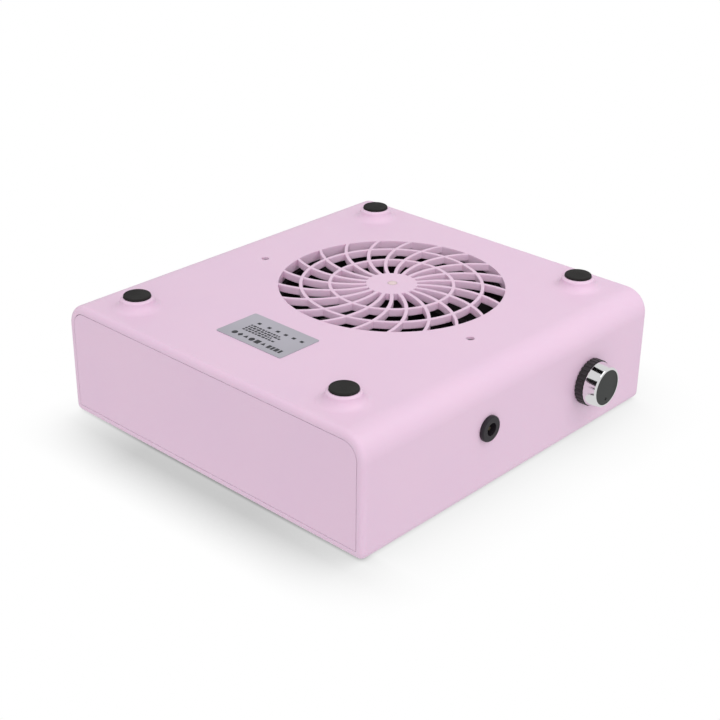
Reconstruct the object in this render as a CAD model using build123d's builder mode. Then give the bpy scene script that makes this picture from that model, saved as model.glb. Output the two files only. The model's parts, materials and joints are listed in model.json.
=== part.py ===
"""Nail dust collector: a low box that draws nail dust down through a filter and out below.

The machine stands on its four feet. X runs along the box from one side cover to the other,
Y runs from the front to the back, where the power socket and the speed knob are, and Z is up.
The pieces are drawn about the middle of the box, then moved so that the origin is on the table
under the middle of the whole machine, knob included. All sizes are in millimetres.
"""
import math
import os

from build123d import *

os.makedirs("parts", exist_ok=True)

# Overall box
body_length = 218.6
body_depth = 206.6
body_height = 62.4
foot_height = 6.8
wall = 2.2
underside_edge_radius = 12.5
top_edge_radius = 4.0
rim_width = 4.2
rim_length = 5.0
rim_round = 3.0
cover_skirt_length = 6.0
cover_skirt_wall = 1.6

# Clearances
seam_gap = 0.2
seat_gap = 0.3
slide_gap = 0.5
bearing_gap = 0.03
shaft_gap = 0.05

# Feet
foot_spacing_x = 177.6
foot_spacing_y = 144.0
pad_radius = 7.0
pad_proud = 1.2
pad_sunk = 0.8
boss_tip_radius = 8.0
boss_tip_round = 0.4
boss_neck_radius = 8.6
boss_flare_radius = 4.6

# Outlet grille, moulded in one with the casing
fan_x = 23.0
outlet_radius = 59.6
grille_depth = 3.8
grille_hub_radius = 13.5
grille_ring_radii = (32.6, 47.8)
grille_ring_width = 1.8
rib_count = 21
rib_width = 2.0
rib_start_angle = 1.8
rib_sweep_inner = 3.0
rib_sweep_middle = 10.5
rib_sweep_outer = 18.5
collar_wall = 2.0
collar_depth = 5.7

# Screws through the underside into the filter tray
case_screw_y = 72.0
case_screw_head_radius = 1.9
case_screw_head_height = 1.4
case_screw_shank_radius = 1.1
case_screw_length = 12.0
case_screw_sunk = 1.4
case_screw_recess = 2.4
screw_recess_width = 0.6
screw_recess_depth = 0.6
case_boss_radius = 4.5
case_boss_height = 5.0

# Filter cassette and the tray that holds it
cassette_length = 167.0
cassette_depth = 147.0
cassette_height = 13.7
cassette_corner = 7.0
frame_wall = 3.0
frame_ledge = 2.0
frame_lip_height = 1.5
frame_top_round = 0.6
pleat_pocket_corner = 1.0
guard_thickness = 1.2
guard_sunk = 0.6
guard_hole_radius = 2.3
guard_hole_pitch = 6.6
guard_margin = 7.0
finger_slot_length = 24.0
finger_slot_width = 9.0
gasket_thickness = 1.5
pleat_pitch = 6.0
pleat_height = 8.0
pleat_thickness = 0.7
tray_wall = 2.0
tray_ledge = 4.5
tray_floor_z = 40.5
tray_collar_wall = 1.8

# Fan
fan_size = 120.0
fan_height = 25.0
fan_corner = 5.0
fan_hole_spacing = 105.0
fan_hole_radius = 2.2
fan_post_radius = 4.2
fan_bore_radius = 57.3
fan_wall = 1.8
fan_flange = 3.5
fan_seat_z = foot_height + collar_depth + seat_gap
fan_base_radius = 19.0
fan_base_thickness = 2.5
fan_tube_drop = 8.0
strut_count = 4
strut_width = 4.0
bearing_radius = 4.0
bearing_bore = 1.5
bearing_width = 4.0
bearing_tube_radius = 5.6
stator_radius = 16.6
stator_height = 9.0
rotor_hub_radius = 20.0
rotor_hub_wall = 1.6
rotor_tip_radius = 56.3
blade_count = 7
blade_thickness = 1.6
blade_root_chord = 0.80 * fan_height
blade_tip_chord = 1.28 * fan_height
blade_root_pitch = 48.0
blade_tip_pitch = 30.0
magnet_thickness = 1.0
fan_screw_radius = 2.0
fan_screw_head_radius = 3.6
fan_screw_head_height = 2.0
fan_screw_recess = 4.4

# Speed control and knob
knob_x = 58.6
knob_drop = 33.4
knob_lift = 0.4
knob_skirt_radius = 12.2
knob_skirt_length = 4.2
knob_flutes = 30
knob_flute_radius = 0.7
knob_ring_base_radius = 11.8
knob_ring_rim_radius = 10.5
knob_ring_length = 7.0
knob_face_radius = 9.4
knob_face_thickness = 1.4
knob_face_sunk = 0.3
knob_cavity_radius = 7.4
knob_cavity_depth = 3.4
pointer_radius = 0.9
pointer_offset = 6.6
pointer_depth = 0.4
control_radius = 8.2
control_depth = 8.0
bushing_radius = 3.5
bushing_length = 5.6
control_shaft_radius = 3.0
washer_radius = 5.6
washer_thickness = 0.6
nut_radius = 5.0
nut_thickness = 2.0

# Power socket
jack_x = -22.9
jack_drop = 28.5
jack_flange_radius = 6.7
jack_flange_thickness = 2.0
jack_flange_round = 0.9
jack_barrel_radius = 5.5
jack_barrel_length = 12.0
jack_hole_radius = 3.3
jack_hole_depth = 10.0
jack_pin_radius = 1.0
jack_pin_short = 1.5
jack_nut_radius = 8.0
jack_nut_thickness = 2.4

# Rating plate
plate_x = -66.5
plate_y = -0.6
plate_length = 26.8
plate_depth = 45.0
plate_thickness = 0.3
plate_corner = 1.0

# Control board and leads
board_length = 62.0
board_height = 24.0
board_thickness = 1.6
board_x = 48.0
lead_radius = 0.7
lead_bend = 3.0
connector_x = fan_x
connector_width = 7.0
connector_height = 6.0
connector_depth = 11.0
fan_connector_drop = 9.0
jack_connector_rise = 3.0
capacitor_radius = 4.0
capacitor_length = 10.0
capacitor_x = 70.0
transistor_x = 48.0
transistor_size = (10.0, 4.5, 9.0)

# Derived levels
base_z = foot_height
top_z = base_z + body_height
middle_z = base_z + body_height / 2
boss_base_radius = boss_neck_radius + boss_flare_radius
back_y = body_depth / 2
inner_back_y = back_y - wall
inner_base_z = base_z + wall
inner_top_z = top_z - wall
knob_z = base_z + knob_drop
knob_shoulder = knob_lift + knob_skirt_length
knob_rim = knob_shoulder + knob_ring_length
face_top = knob_rim - knob_face_sunk
core_top = face_top - knob_face_thickness
jack_z = base_z + jack_drop
fan_top_z = fan_seat_z + fan_height
cassette_base_z = top_z - cassette_height
gasket_base_z = cassette_base_z - gasket_thickness
tray_ledge_z = gasket_base_z - seat_gap
opening_length = cassette_length + 2 * slide_gap
opening_depth = cassette_depth + 2 * slide_gap
opening_corner = cassette_corner + slide_gap
tray_inner_length = opening_length + 3.0
tray_inner_depth = opening_depth + 3.0
tray_outer_length = tray_inner_length + 2 * tray_wall
tray_outer_depth = tray_inner_depth + 2 * tray_wall
back_plane = Plane(origin=(0, back_y, 0), x_dir=(-1, 0, 0), z_dir=(0, 1, 0))
knob_spot = (-knob_x, knob_z)
jack_spot = (-jack_x, jack_z)


def save(part, name):
    """Move a finished piece into the shared frame, label it and write it to its own file."""
    placed = Pos(0, -knob_rim / 2, 0) * part
    placed.label = name
    export_step(placed, f"parts/{name}.step")


def band_profile(inset):
    """Return the box's end-on outline, drawn in by the given distance."""
    half_y = body_depth / 2 - inset
    half_z = body_height / 2 - inset
    corners = (
        (half_y, middle_z - half_z, underside_edge_radius),
        (half_y, middle_z + half_z, top_edge_radius),
        (-half_y, middle_z - half_z, underside_edge_radius),
        (-half_y, middle_z + half_z, top_edge_radius),
    )
    with BuildSketch(Plane.YZ) as profile:
        with Locations((0, middle_z)):
            Rectangle(2 * half_y, 2 * half_z)
        for y, z, radius in corners:
            corner = profile.vertices().sort_by_distance(Vector(y, z, 0))[0]
            fillet(corner, radius=max(radius - inset, 0.5))
    return profile.sketch


def swept_rib():
    """Return one curved grille rib as a flat face about the grille's centre."""
    stations = (
        (grille_hub_radius - 1.0, 0.0),
        (grille_ring_radii[0], rib_sweep_inner),
        (grille_ring_radii[1], rib_sweep_middle),
        (outlet_radius + collar_wall / 2, rib_sweep_outer),
    )
    left = []
    right = []
    for radius, sweep in stations:
        half_angle = math.degrees(rib_width / 2 / radius)
        left.append(polar(radius, sweep - half_angle))
        right.append(polar(radius, sweep + half_angle))
    with BuildSketch() as rib:
        with BuildLine():
            Spline(*left)
            Line(left[-1], right[-1])
            Spline(*reversed(right))
            Line(right[0], left[0])
        make_face()
    return rib.sketch


def polar(radius, degrees):
    """Return the flat point at a radius and an angle."""
    angle = math.radians(degrees)
    return (radius * math.cos(angle), radius * math.sin(angle))


outer_profile = band_profile(0.0)
inner_profile = band_profile(wall)
end_profile = band_profile(rim_width)
cover_profile = band_profile(rim_width + seam_gap)
skirt_hollow_profile = band_profile(rim_width + seam_gap + cover_skirt_wall)
grille_rib = swept_rib()
foot_spots = [
    (sign_x * foot_spacing_x / 2, sign_y * foot_spacing_y / 2)
    for sign_x in (-1, 1)
    for sign_y in (-1, 1)
]
fan_spots = [
    (fan_x + sign_x * fan_hole_spacing / 2, sign_y * fan_hole_spacing / 2)
    for sign_x in (-1, 1)
    for sign_y in (-1, 1)
]
case_screw_spots = [(0, -case_screw_y), (0, case_screw_y)]

# Casing: a closed band open at both ends, with its outlet grille and foot bosses
with BuildPart() as casing:
    extrude(to_extrude=outer_profile, amount=body_length / 2, both=True)
    end_edges = casing.faces().filter_by(Axis.X).edges()
    fillet(end_edges, radius=rim_round)
    extrude(to_extrude=inner_profile, amount=body_length / 2 - rim_length, both=True,
            mode=Mode.SUBTRACT)
    extrude(to_extrude=end_profile, amount=body_length / 2, both=True, mode=Mode.SUBTRACT)
    # Feet bosses, flared where they meet the underside
    for x, y in foot_spots:
        boss_plane = Plane(origin=(x, y, 0), x_dir=(1, 0, 0), z_dir=(0, -1, 0))
        with BuildSketch(boss_plane) as boss:
            with BuildLine():
                tip = Line((0, pad_proud), (boss_tip_radius - boss_tip_round, pad_proud))
                edge = Line(tip @ 1, (boss_tip_radius, pad_proud + boss_tip_round))
                flank = Line(edge @ 1, (boss_neck_radius, base_z - boss_flare_radius))
                flare = RadiusArc(flank @ 1, (boss_base_radius, base_z), boss_flare_radius)
                top = Line(flare @ 1, (boss_base_radius, inner_base_z))
                inside = Line(top @ 1, (0, inner_base_z))
                Line(inside @ 1, tip @ 0)
            make_face()
        revolve(axis=Axis((x, y, 0), (0, 0, 1)))
    with BuildSketch(Plane.XY.offset(pad_proud)):
        with Locations(*foot_spots):
            Circle(pad_radius + 0.05)
    extrude(amount=pad_sunk, mode=Mode.SUBTRACT)
    # Round outlet with a collar, then the grille across it
    with BuildSketch(Plane.XY.offset(base_z)):
        with Locations((fan_x, 0)):
            Circle(outlet_radius)
    extrude(amount=wall, mode=Mode.SUBTRACT)
    with BuildSketch(Plane.XY.offset(base_z)):
        with Locations((fan_x, 0)):
            Circle(outlet_radius + collar_wall)
            Circle(outlet_radius, mode=Mode.SUBTRACT)
    extrude(amount=collar_depth)
    with BuildSketch(Plane.XY.offset(base_z)):
        with Locations((fan_x, 0)):
            for ring_radius in sorted(grille_ring_radii, reverse=True):
                Circle(ring_radius + grille_ring_width / 2)
                Circle(ring_radius - grille_ring_width / 2, mode=Mode.SUBTRACT)
            Circle(grille_hub_radius)
        with Locations((fan_x, 0)):
            with PolarLocations(0, rib_count, start_angle=rib_start_angle):
                add(grille_rib)
    extrude(amount=grille_depth)
    # Bosses for the underside screws, and posts for the fan
    with BuildSketch(Plane.XY.offset(inner_base_z)):
        with Locations(*case_screw_spots):
            Circle(case_boss_radius)
    extrude(amount=case_boss_height)
    with BuildSketch(Plane.XY.offset(inner_base_z)):
        with Locations(*fan_spots):
            Circle(fan_post_radius)
    extrude(amount=fan_seat_z - inner_base_z)
    with Locations(*[(x, y, base_z) for x, y in case_screw_spots]):
        Cylinder(case_screw_head_radius + 0.2, case_screw_sunk + case_screw_head_height,
                 align=(Align.CENTER, Align.CENTER, Align.MIN), mode=Mode.SUBTRACT)
        Cylinder(case_screw_shank_radius + 0.2, case_screw_length,
                 align=(Align.CENTER, Align.CENTER, Align.MIN), mode=Mode.SUBTRACT)
    with Locations(*[(x, y, inner_base_z) for x, y in fan_spots]):
        Cylinder(fan_screw_radius + 0.05, fan_seat_z,
                 align=(Align.CENTER, Align.CENTER, Align.MIN), mode=Mode.SUBTRACT)
    # Opening for the filter cassette in the top
    with BuildSketch(Plane.XY.offset(inner_top_z)):
        RectangleRounded(opening_length, opening_depth, opening_corner)
    extrude(amount=wall, mode=Mode.SUBTRACT)
    # Holes for the speed control and the power socket in the back
    with BuildSketch(back_plane):
        with Locations(knob_spot):
            Circle(bushing_radius + 0.1)
        with Locations(jack_spot):
            Circle(jack_barrel_radius + 0.1)
    extrude(amount=-2 * wall, mode=Mode.SUBTRACT)
save(casing.part, "casing")

# Side covers: plates set into the band's ends, each with a locating skirt
for name, side in (("side_cover_left", -1), ("side_cover_right", 1)):
    with BuildPart() as side_cover:
        extrude(to_extrude=cover_profile, amount=side * wall)
        extrude(to_extrude=cover_profile, amount=-side * cover_skirt_length)
        extrude(to_extrude=skirt_hollow_profile, amount=-side * cover_skirt_length,
                mode=Mode.SUBTRACT)
    save(Pos(side * (body_length / 2 - wall), 0, 0) * side_cover.part, name)

# Filter tray: walls up to the top opening, a ledge for the cassette and a floor over the fan
with BuildPart() as filter_tray:
    with BuildSketch(Plane.XY.offset(tray_floor_z)):
        RectangleRounded(tray_outer_length, tray_outer_depth, opening_corner + tray_wall)
    extrude(amount=inner_top_z - tray_floor_z)
    with BuildSketch(Plane.XY.offset(tray_floor_z + tray_wall)):
        RectangleRounded(tray_inner_length - 2 * tray_ledge, tray_inner_depth - 2 * tray_ledge,
                         opening_corner)
    extrude(amount=inner_top_z - tray_floor_z, mode=Mode.SUBTRACT)
    with BuildSketch(Plane.XY.offset(tray_ledge_z)):
        RectangleRounded(tray_inner_length, tray_inner_depth, opening_corner)
    extrude(amount=inner_top_z - tray_ledge_z, mode=Mode.SUBTRACT)
    # Relief under the ledge leaves an even wall
    with BuildSketch(Plane.XY.offset(tray_floor_z + tray_wall)):
        RectangleRounded(tray_inner_length, tray_inner_depth, opening_corner)
    extrude(amount=tray_ledge_z - tray_wall - tray_floor_z - tray_wall, mode=Mode.SUBTRACT)
    # Collar down to the fan, and posts down to the underside screws
    with BuildSketch(Plane.XY.offset(fan_top_z + seat_gap)):
        with Locations((fan_x, 0)):
            Circle(fan_bore_radius + tray_collar_wall)
    extrude(amount=tray_floor_z - fan_top_z - seat_gap)
    with BuildSketch(Plane.XY.offset(inner_base_z + case_boss_height)):
        with Locations(*case_screw_spots):
            Circle(case_boss_radius)
    extrude(amount=tray_floor_z - inner_base_z - case_boss_height)
    with BuildSketch(Plane.XY.offset(fan_top_z)):
        with Locations((fan_x, 0)):
            Circle(fan_bore_radius)
    extrude(amount=tray_floor_z + tray_wall - fan_top_z, mode=Mode.SUBTRACT)
    with Locations(*[(x, y, base_z) for x, y in case_screw_spots]):
        Cylinder(case_screw_shank_radius, case_screw_sunk + case_screw_head_height + case_screw_length,
                 align=(Align.CENTER, Align.CENTER, Align.MIN), mode=Mode.SUBTRACT)
save(filter_tray.part, "filter_tray")

# Screws from the underside
with BuildPart() as case_screws:
    with Locations(*[(x, y, base_z + case_screw_sunk) for x, y in case_screw_spots]):
        Cylinder(case_screw_head_radius, case_screw_head_height,
                 align=(Align.CENTER, Align.CENTER, Align.MIN))
        Cylinder(case_screw_shank_radius, case_screw_head_height + case_screw_length,
                 align=(Align.CENTER, Align.CENTER, Align.MIN))
    with Locations(*[(x, y, base_z + case_screw_sunk) for x, y in case_screw_spots]):
        Box(case_screw_recess, screw_recess_width, 2 * screw_recess_depth, mode=Mode.SUBTRACT)
        Box(screw_recess_width, case_screw_recess, 2 * screw_recess_depth, mode=Mode.SUBTRACT)
save(case_screws.part, "case_screws")

# Rubber pads, one per foot
with BuildPart() as foot_pads:
    with BuildSketch(Plane.XY):
        with Locations(*foot_spots):
            Circle(pad_radius)
    extrude(amount=pad_proud + pad_sunk)
    fillet(foot_pads.faces().group_by(Axis.Z)[0].edges(), radius=0.5)
save(foot_pads.part, "foot_pads")

# Blank rating plate stuck to the underside
with BuildPart() as rating_plate:
    with BuildSketch(Plane.XY.offset(base_z - plate_thickness)):
        with Locations((plate_x, plate_y)):
            RectangleRounded(plate_length, plate_depth, plate_corner)
    extrude(amount=plate_thickness)
save(rating_plate.part, "rating_plate")

# Filter cassette: frame, perforated guard, pleated paper and gasket
with BuildPart() as filter_frame:
    with BuildSketch(Plane.XY.offset(cassette_base_z)):
        RectangleRounded(cassette_length, cassette_depth, cassette_corner)
    extrude(amount=cassette_height)
    fillet(filter_frame.faces().group_by(Axis.Z)[-1].edges(), radius=frame_top_round)
    with BuildSketch(Plane.XY.offset(cassette_base_z)):
        RectangleRounded(cassette_length - 2 * frame_wall - 2 * frame_ledge,
                         cassette_depth - 2 * frame_wall - 2 * frame_ledge,
                         cassette_corner - frame_wall)
    extrude(amount=cassette_height, mode=Mode.SUBTRACT)
    with BuildSketch(Plane.XY.offset(top_z - guard_sunk - guard_thickness)):
        RectangleRounded(cassette_length - 2 * frame_wall, cassette_depth - 2 * frame_wall,
                         cassette_corner - frame_wall)
    extrude(amount=guard_sunk + guard_thickness, mode=Mode.SUBTRACT)
    with BuildSketch(Plane.XY.offset(cassette_base_z + frame_lip_height)):
        RectangleRounded(cassette_length - 2 * frame_wall, cassette_depth - 2 * frame_wall,
                         pleat_pocket_corner)
    extrude(amount=pleat_height + seam_gap, mode=Mode.SUBTRACT)
save(filter_frame.part, "filter_frame")

guard_length = cassette_length - 2 * frame_wall - 2 * seam_gap
guard_depth = cassette_depth - 2 * frame_wall - 2 * seam_gap
guard_row_pitch = guard_hole_pitch * math.sin(math.radians(60))
guard_rows = 2 * int((guard_depth / 2 - guard_margin) / guard_row_pitch) + 1
guard_columns = 2 * int((guard_length / 2 - guard_margin) / guard_hole_pitch) + 1
finger_slot_y = guard_depth / 2 - guard_margin - finger_slot_width / 2
guard_spots = []
for row in range(guard_rows):
    row_y = (row - (guard_rows - 1) / 2) * guard_row_pitch
    odd_row = row % 2
    for column in range(guard_columns - odd_row):
        column_x = (column - (guard_columns - odd_row - 1) / 2) * guard_hole_pitch
        over_slot = (abs(column_x) < finger_slot_length / 2 + guard_hole_pitch
                     and abs(row_y) > finger_slot_y - finger_slot_width / 2 - guard_hole_radius - 1.0)
        if not over_slot:
            guard_spots.append((column_x, row_y))
with BuildPart() as filter_guard:
    with BuildSketch(Plane.XY.offset(top_z - guard_sunk - guard_thickness)):
        RectangleRounded(guard_length, guard_depth, cassette_corner - frame_wall - seam_gap)
        with Locations(*guard_spots):
            Circle(guard_hole_radius, mode=Mode.SUBTRACT)
        with Locations((0, -finger_slot_y), (0, finger_slot_y)):
            SlotOverall(finger_slot_length, finger_slot_width, mode=Mode.SUBTRACT)
    extrude(amount=guard_thickness)
save(filter_guard.part, "filter_guard")

pleat_length = cassette_length - 2 * frame_wall - 2 * seam_gap
pleat_depth = cassette_depth - 2 * frame_wall - 2 * slide_gap
pleat_count = int(pleat_length / pleat_pitch)
pleat_base_z = cassette_base_z + frame_lip_height
pleat_start = -pleat_count * pleat_pitch / 2
pleat_skew = pleat_thickness * math.hypot(pleat_pitch / 2, pleat_height) / (pleat_pitch / 2)
lower_line = []
for index in range(2 * pleat_count + 1):
    lift = (pleat_height - pleat_skew) * (index % 2)
    lower_line.append((pleat_start + index * pleat_pitch / 2, pleat_base_z + lift))
upper_line = [(x, z + pleat_skew) for x, z in reversed(lower_line)]
with BuildPart() as filter_media:
    with BuildSketch(Plane.XZ):
        with BuildLine():
            Polyline(*lower_line, *upper_line, close=True)
        make_face()
    extrude(amount=pleat_depth / 2, both=True)
save(filter_media.part, "filter_media")

with BuildPart() as filter_gasket:
    with BuildSketch(Plane.XY.offset(gasket_base_z)):
        RectangleRounded(cassette_length - 1.0, cassette_depth - 1.0, cassette_corner - 0.5)
        RectangleRounded(cassette_length - 2 * frame_wall - 3.0,
                         cassette_depth - 2 * frame_wall - 3.0,
                         cassette_corner - frame_wall, mode=Mode.SUBTRACT)
    extrude(amount=gasket_thickness)
save(filter_gasket.part, "filter_gasket")

# Fan frame: two square flanges joined by a round wall, with a motor base on four struts
fan_centre = Plane(origin=(fan_x, 0, fan_seat_z), x_dir=(1, 0, 0), z_dir=(0, 0, 1))
fan_holes = [(x - fan_x, y) for x, y in fan_spots]
base_top = fan_base_thickness
strut_height = fan_flange
tube_top = fan_height - fan_tube_drop
lower_bearing_base = 1.5
upper_bearing_base = tube_top - bearing_width - 0.5
lead_level = strut_height - lead_radius - 0.3
with BuildPart(fan_centre) as fan_housing:
    with BuildSketch(fan_centre):
        RectangleRounded(fan_size, fan_size, fan_corner)
    extrude(amount=fan_flange)
    with BuildSketch(fan_centre.offset(fan_height - fan_flange)):
        RectangleRounded(fan_size, fan_size, fan_corner)
    extrude(amount=fan_flange)
    with BuildSketch(fan_centre):
        Circle(fan_bore_radius + fan_wall)
        with Locations(*fan_holes):
            Circle(fan_corner)
    extrude(amount=fan_height)
    Cylinder(fan_bore_radius, fan_height,
             align=(Align.CENTER, Align.CENTER, Align.MIN), mode=Mode.SUBTRACT)
    with Locations(*fan_holes):
        Cylinder(fan_hole_radius, fan_height,
                 align=(Align.CENTER, Align.CENTER, Align.MIN), mode=Mode.SUBTRACT)
    with BuildSketch(fan_centre):
        with PolarLocations(fan_bore_radius / 2 + 0.5, strut_count):
            Rectangle(fan_bore_radius, strut_width)
        Circle(fan_base_radius - 1.0, mode=Mode.SUBTRACT)
    extrude(amount=strut_height)
    with BuildSketch(fan_centre):
        Circle(fan_base_radius)
    extrude(amount=base_top)
    with BuildSketch(fan_centre):
        Circle(bearing_tube_radius)
    extrude(amount=tube_top)
    with Locations((0, 0, lower_bearing_base)):
        Cylinder(bearing_radius, bearing_width,
                 align=(Align.CENTER, Align.CENTER, Align.MIN), mode=Mode.SUBTRACT)
        Cylinder(bearing_radius - 0.6, tube_top,
                 align=(Align.CENTER, Align.CENTER, Align.MIN), mode=Mode.SUBTRACT)
    with Locations((0, 0, upper_bearing_base)):
        Cylinder(bearing_radius, tube_top,
                 align=(Align.CENTER, Align.CENTER, Align.MIN), mode=Mode.SUBTRACT)
    # Channel for the motor's lead, along one strut and out through the flange
    with Locations((0, fan_base_radius - 2.5, lead_level)):
        Cylinder(lead_radius + 0.05, fan_size, rotation=(-90, 0, 0),
                 align=(Align.CENTER, Align.CENTER, Align.MIN), mode=Mode.SUBTRACT)
save(fan_housing.part, "fan_housing")

with BuildPart(fan_centre) as fan_bearings:
    with Locations((0, 0, lower_bearing_base), (0, 0, upper_bearing_base)):
        Cylinder(bearing_radius, bearing_width, align=(Align.CENTER, Align.CENTER, Align.MIN))
        Cylinder(bearing_bore, bearing_width,
                 align=(Align.CENTER, Align.CENTER, Align.MIN), mode=Mode.SUBTRACT)
save(fan_bearings.part, "fan_bearings")

# Motor: circuit ring, iron core and four coils around the bearing tube
circuit_base = base_top + 0.3
circuit_thickness = 1.0
stator_base = circuit_base + circuit_thickness + 1.2
coil_radius = (bearing_tube_radius + stator_radius) / 2 + 0.3
coil_length = 5.0
arm_width = 4.0
with BuildPart(fan_centre) as fan_circuit:
    with BuildSketch(fan_centre.offset(circuit_base)):
        Circle(stator_radius + 0.2)
        Circle(bearing_tube_radius, mode=Mode.SUBTRACT)
    extrude(amount=circuit_thickness)
save(fan_circuit.part, "fan_circuit")

with BuildPart(fan_centre) as fan_stator:
    with BuildSketch(fan_centre.offset(stator_base)):
        Circle(stator_radius)
        Circle(stator_radius - 2.0, mode=Mode.SUBTRACT)
        with PolarLocations(0, 4, start_angle=45):
            Rectangle(2 * stator_radius, 3.0, mode=Mode.SUBTRACT)
        Circle(bearing_tube_radius + 2.0)
        with PolarLocations((bearing_tube_radius + stator_radius) / 2, 4):
            Rectangle(stator_radius - bearing_tube_radius - 1.0, arm_width)
        Circle(bearing_tube_radius, mode=Mode.SUBTRACT)
    extrude(amount=stator_height)
save(fan_stator.part, "fan_stator")

with BuildPart(fan_centre) as fan_coils:
    with BuildSketch(fan_centre.offset(stator_base - 0.8)):
        with PolarLocations(coil_radius, 4):
            Rectangle(coil_length, arm_width + 3.6)
    extrude(amount=stator_height + 1.6)
    with BuildSketch(fan_centre.offset(stator_base)):
        with PolarLocations(coil_radius, 4):
            Rectangle(2 * coil_length, arm_width)
    extrude(amount=stator_height, mode=Mode.SUBTRACT)
save(fan_coils.part, "fan_coils")

# Rotor: cupped hub with twisted blades, its magnet ring and shaft
hub_base = strut_height + 1.0
hub_top = fan_height - 2.0
hub_roof = 2.0
hub_boss_base = tube_top + 0.8
blade_level = (hub_base + hub_top) / 2
blade_root_radius = rotor_hub_radius - rotor_hub_wall / 2
with BuildPart() as blade:
    for radius, chord, pitch in (
        (blade_root_radius, blade_root_chord, blade_root_pitch),
        (rotor_tip_radius + 1.0, blade_tip_chord, blade_tip_pitch),
    ):
        blade_plane = Plane(origin=(radius, 0, blade_level), x_dir=(0, 1, 0), z_dir=(1, 0, 0))
        with BuildSketch(blade_plane):
            Rectangle(chord, blade_thickness, rotation=pitch)
    loft(ruled=True)
with BuildPart(fan_centre) as fan_rotor:
    with PolarLocations(0, blade_count):
        add(blade.part)
    Cylinder(rotor_tip_radius, fan_height,
             align=(Align.CENTER, Align.CENTER, Align.MIN), mode=Mode.INTERSECT)
    with Locations((0, 0, hub_base)):
        Cylinder(rotor_hub_radius, hub_top - hub_base, align=(Align.CENTER, Align.CENTER, Align.MIN))
        Cylinder(rotor_hub_radius - rotor_hub_wall, hub_top - hub_base - hub_roof,
                 align=(Align.CENTER, Align.CENTER, Align.MIN), mode=Mode.SUBTRACT)
    with Locations((0, 0, hub_boss_base)):
        Cylinder(bearing_radius, hub_top - hub_boss_base, align=(Align.CENTER, Align.CENTER, Align.MIN))
        Cylinder(bearing_bore - bearing_gap, hub_top - hub_boss_base - 1.0,
                 align=(Align.CENTER, Align.CENTER, Align.MIN), mode=Mode.SUBTRACT)
save(fan_rotor.part, "fan_rotor")

with BuildPart(fan_centre) as fan_magnet:
    with BuildSketch(fan_centre.offset(stator_base - 0.5)):
        Circle(rotor_hub_radius - rotor_hub_wall)
        Circle(rotor_hub_radius - rotor_hub_wall - magnet_thickness, mode=Mode.SUBTRACT)
    extrude(amount=stator_height + 1.0)
save(fan_magnet.part, "fan_magnet")

with BuildPart(fan_centre) as fan_shaft:
    with Locations((0, 0, lower_bearing_base + 0.4)):
        Cylinder(bearing_bore - bearing_gap, hub_top - 1.0 - lower_bearing_base - 0.4,
                 align=(Align.CENTER, Align.CENTER, Align.MIN))
save(fan_shaft.part, "fan_shaft")

fan_screw_end = inner_base_z + 0.5
with BuildPart() as fan_screws:
    with Locations(*[(x, y, fan_screw_end) for x, y in fan_spots]):
        Cylinder(fan_screw_radius, fan_top_z - fan_screw_end,
                 align=(Align.CENTER, Align.CENTER, Align.MIN))
    with Locations(*[(x, y, fan_top_z) for x, y in fan_spots]):
        Cylinder(fan_screw_head_radius, fan_screw_head_height,
                 align=(Align.CENTER, Align.CENTER, Align.MIN))
    with Locations(*[(x, y, fan_top_z + fan_screw_head_height) for x, y in fan_spots]):
        Box(fan_screw_recess, screw_recess_width, 2 * screw_recess_depth, mode=Mode.SUBTRACT)
        Box(screw_recess_width, fan_screw_recess, 2 * screw_recess_depth, mode=Mode.SUBTRACT)
save(fan_screws.part, "fan_screws")

# Speed control: body with its threaded bushing, shaft, washer and nut
with BuildPart() as speed_control:
    with BuildSketch(back_plane.offset(-wall)):
        with Locations(knob_spot):
            Circle(control_radius)
    extrude(amount=-control_depth)
    with BuildSketch(back_plane.offset(-wall)):
        with Locations(knob_spot):
            Circle(bushing_radius)
    extrude(amount=bushing_length)
    with BuildSketch(back_plane.offset(bushing_length - wall)):
        with Locations(knob_spot):
            Circle(control_shaft_radius + shaft_gap)
    extrude(amount=-bushing_length - control_depth + 2.0, mode=Mode.SUBTRACT)
save(speed_control.part, "speed_control")

with BuildPart() as speed_control_washer:
    with BuildSketch(back_plane):
        with Locations(knob_spot):
            Circle(washer_radius)
            Circle(bushing_radius + 0.1, mode=Mode.SUBTRACT)
    extrude(amount=washer_thickness)
save(speed_control_washer.part, "speed_control_washer")

with BuildPart() as speed_control_nut:
    with BuildSketch(back_plane.offset(washer_thickness)):
        with Locations(knob_spot):
            RegularPolygon(nut_radius, 6, major_radius=False)
            Circle(bushing_radius + 0.02, mode=Mode.SUBTRACT)
    extrude(amount=nut_thickness)
save(speed_control_nut.part, "speed_control_nut")

# Knob: ribbed skirt with its core, bright ring and dark face, all on the control's shaft
shaft_top = core_top - 1.0
cavity_top = knob_lift + knob_cavity_depth
shaft_bottom = -wall - control_depth + 2.3
with BuildPart() as speed_control_shaft:
    with BuildSketch(back_plane.offset(shaft_bottom)):
        with Locations(knob_spot):
            Circle(control_shaft_radius)
    extrude(amount=shaft_top - shaft_bottom)
save(speed_control_shaft.part, "speed_control_shaft")

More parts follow.
